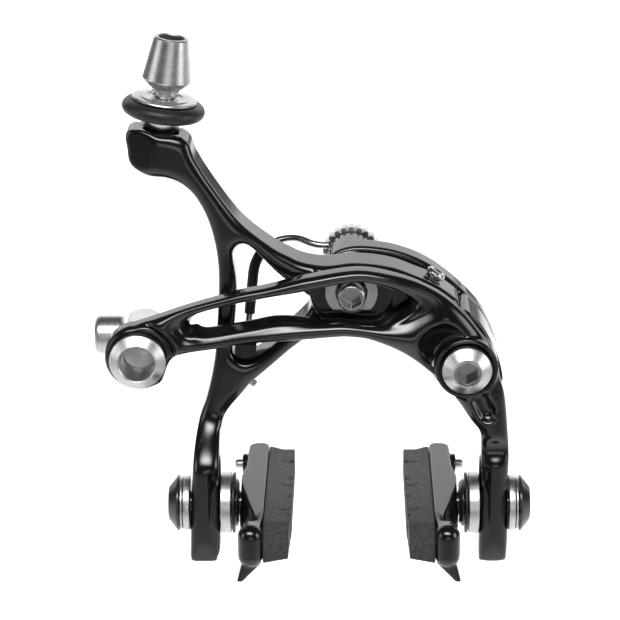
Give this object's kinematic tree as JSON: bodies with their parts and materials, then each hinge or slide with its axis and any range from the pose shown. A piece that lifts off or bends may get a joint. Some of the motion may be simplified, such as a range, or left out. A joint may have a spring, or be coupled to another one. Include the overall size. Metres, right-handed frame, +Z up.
{
  "type": "rim brake caliper",
  "caption": "Dual-pivot rim brake caliper with curved arms on a pivot bracket, a barrel adjuster, a swivelling cable anchor and cartridge pads on slotted blades.",
  "frame": {"origin": "on the centre bolt's axis, at the rear face of the serrated washer that bears on the fork", "axes": "+X across the wheel towards the side pivot, +Y backwards into the fork along the centre bolt, +Z up"},
  "size_m": [0.0913, 0.0603, 0.1106],
  "materials": {
    "black_gloss": "gloss black over smooth forged aluminium",
    "silver": "turned, bright satin",
    "steel": "bright drawn wire and ground pins",
    "dark_gloss": "dark polished",
    "pad_rubber": "matte brake compound",
    "ring_rubber": "satin grip ring",
    "black_plastic": "satin moulded"
  },
  "bodies": {
    "bracket": {"pivot_bracket": "black_gloss", "centre_bolt": "steel", "centre_locknut": "silver", "serrated_washer": "silver", "side_pivot_bolt": "silver", "return_spring": "steel", "thrust_washer": "steel", "side_thrust_washer": "steel"},
    "adjuster_arm": {"adjuster_arm": "black_gloss", "adjuster_seat": "silver", "adjuster_arm_bush": "steel", "spring_seat": "black_plastic"},
    "tension_screw": {"spring_tension_screw": "silver"},
    "centring_screw": {"centring_screw": "silver"},
    "adjuster_wheel": {"adjuster_disc": "silver", "adjuster_ring": "ring_rubber"},
    "adjuster_barrel": {"adjuster_barrel": "silver"},
    "anchor_arm": {"anchor_arm": "black_gloss", "anchor_arm_bush": "steel"},
    "cable_anchor": {"cable_anchor": "silver", "anchor_clip": "steel"},
    "clamp_bolt": {"clamp_bolt": "silver"},
    "left_pad_carrier": {"left_pad_bolt": "dark_gloss", "left_outer_washer": "silver", "left_bolt_collar": "silver", "left_spacer_washer": "silver", "left_dished_washer": "black_plastic", "left_domed_washer": "silver"},
    "left_pad": {"left_pad_holder": "black_gloss", "left_pad_rubber": "pad_rubber", "left_pad_screw": "silver"},
    "right_pad_carrier": {"right_pad_bolt": "dark_gloss", "right_outer_washer": "silver", "right_bolt_collar": "silver", "right_spacer_washer": "silver", "right_dished_washer": "black_plastic", "right_domed_washer": "silver"},
    "right_pad": {"right_pad_holder": "black_gloss", "right_pad_rubber": "pad_rubber", "right_pad_screw": "silver"}
  },
  "joints": [
    {"name": "adjuster_arm_pivot", "type": "hinge", "parent": "bracket", "child": "adjuster_arm", "pos_m": [0, 0, 0], "axis": [0, 1, 0], "range_deg": [-3.7, 0], "stiffness_Nm_per_rad": 3, "springref_deg": 8.59, "deforming": ["return_spring"]},
    {"name": "anchor_arm_pivot", "type": "hinge", "parent": "bracket", "child": "anchor_arm", "pos_m": [0.0237, 0, -0.0146], "axis": [0, 1, 0], "range_deg": [0, 5.4]},
    {"name": "adjuster_wheel_turn", "type": "hinge", "parent": "adjuster_arm", "child": "adjuster_wheel", "pos_m": [-0.03876, -0.0215, 0.03202], "axis": [0.1392, 0, 0.9903], "range_deg": [0, 1081]},
    {"name": "adjuster_barrel_slide", "type": "slide", "parent": "adjuster_arm", "child": "adjuster_barrel", "axis": [0.1392, 0, 0.9903], "range_m": [0, 0.003]},
    {"name": "centring_screw_turn", "type": "hinge", "parent": "adjuster_arm", "child": "centring_screw", "pos_m": [0.0172, -0.0204, 0.0011], "axis": [0.5408, 0, 0.8412], "range_deg": [-360, 360]},
    {"name": "tension_screw_turn", "type": "hinge", "parent": "adjuster_arm", "child": "tension_screw", "pos_m": [-0.022, -0.0196, -0.022], "axis": [0.722, 0, -0.6919], "range_deg": [-360, 360]},
    {"name": "cable_anchor_swivel", "type": "hinge", "parent": "anchor_arm", "child": "cable_anchor", "pos_m": [-0.0438, 0, -0.0127], "axis": [0, 1, 0], "range_deg": [-20, 20]},
    {"name": "clamp_bolt_turn", "type": "hinge", "parent": "cable_anchor", "child": "clamp_bolt", "pos_m": [-0.047, -0.0215, -0.0114], "axis": [1, 0, 0], "range_deg": [0, 720]},
    {"name": "left_pad_height", "type": "slide", "parent": "adjuster_arm", "child": "left_pad_carrier", "axis": [0, 0, 1], "range_m": [-0.0025, 0.0077]},
    {"name": "left_pad_angle", "type": "hinge", "parent": "left_pad_carrier", "child": "left_pad", "pos_m": [-0.0225, -0.029, -0.0467], "axis": [1, 0, 0], "range_deg": [-8, 8]},
    {"name": "right_pad_height", "type": "slide", "parent": "anchor_arm", "child": "right_pad_carrier", "axis": [0, 0, 1], "range_m": [-0.0025, 0.0077]},
    {"name": "right_pad_angle", "type": "hinge", "parent": "right_pad_carrier", "child": "right_pad", "pos_m": [0.0215, -0.029, -0.0467], "axis": [1, 0, 0], "range_deg": [-8, 8]}
  ],
  "couplings": [
    {"joint": "anchor_arm_pivot", "follows": "adjuster_arm_pivot", "ratio": -1.455},
    {"joint": "adjuster_wheel_turn", "follows": "adjuster_barrel_slide", "rad_per_m": 6283.2}
  ]
}
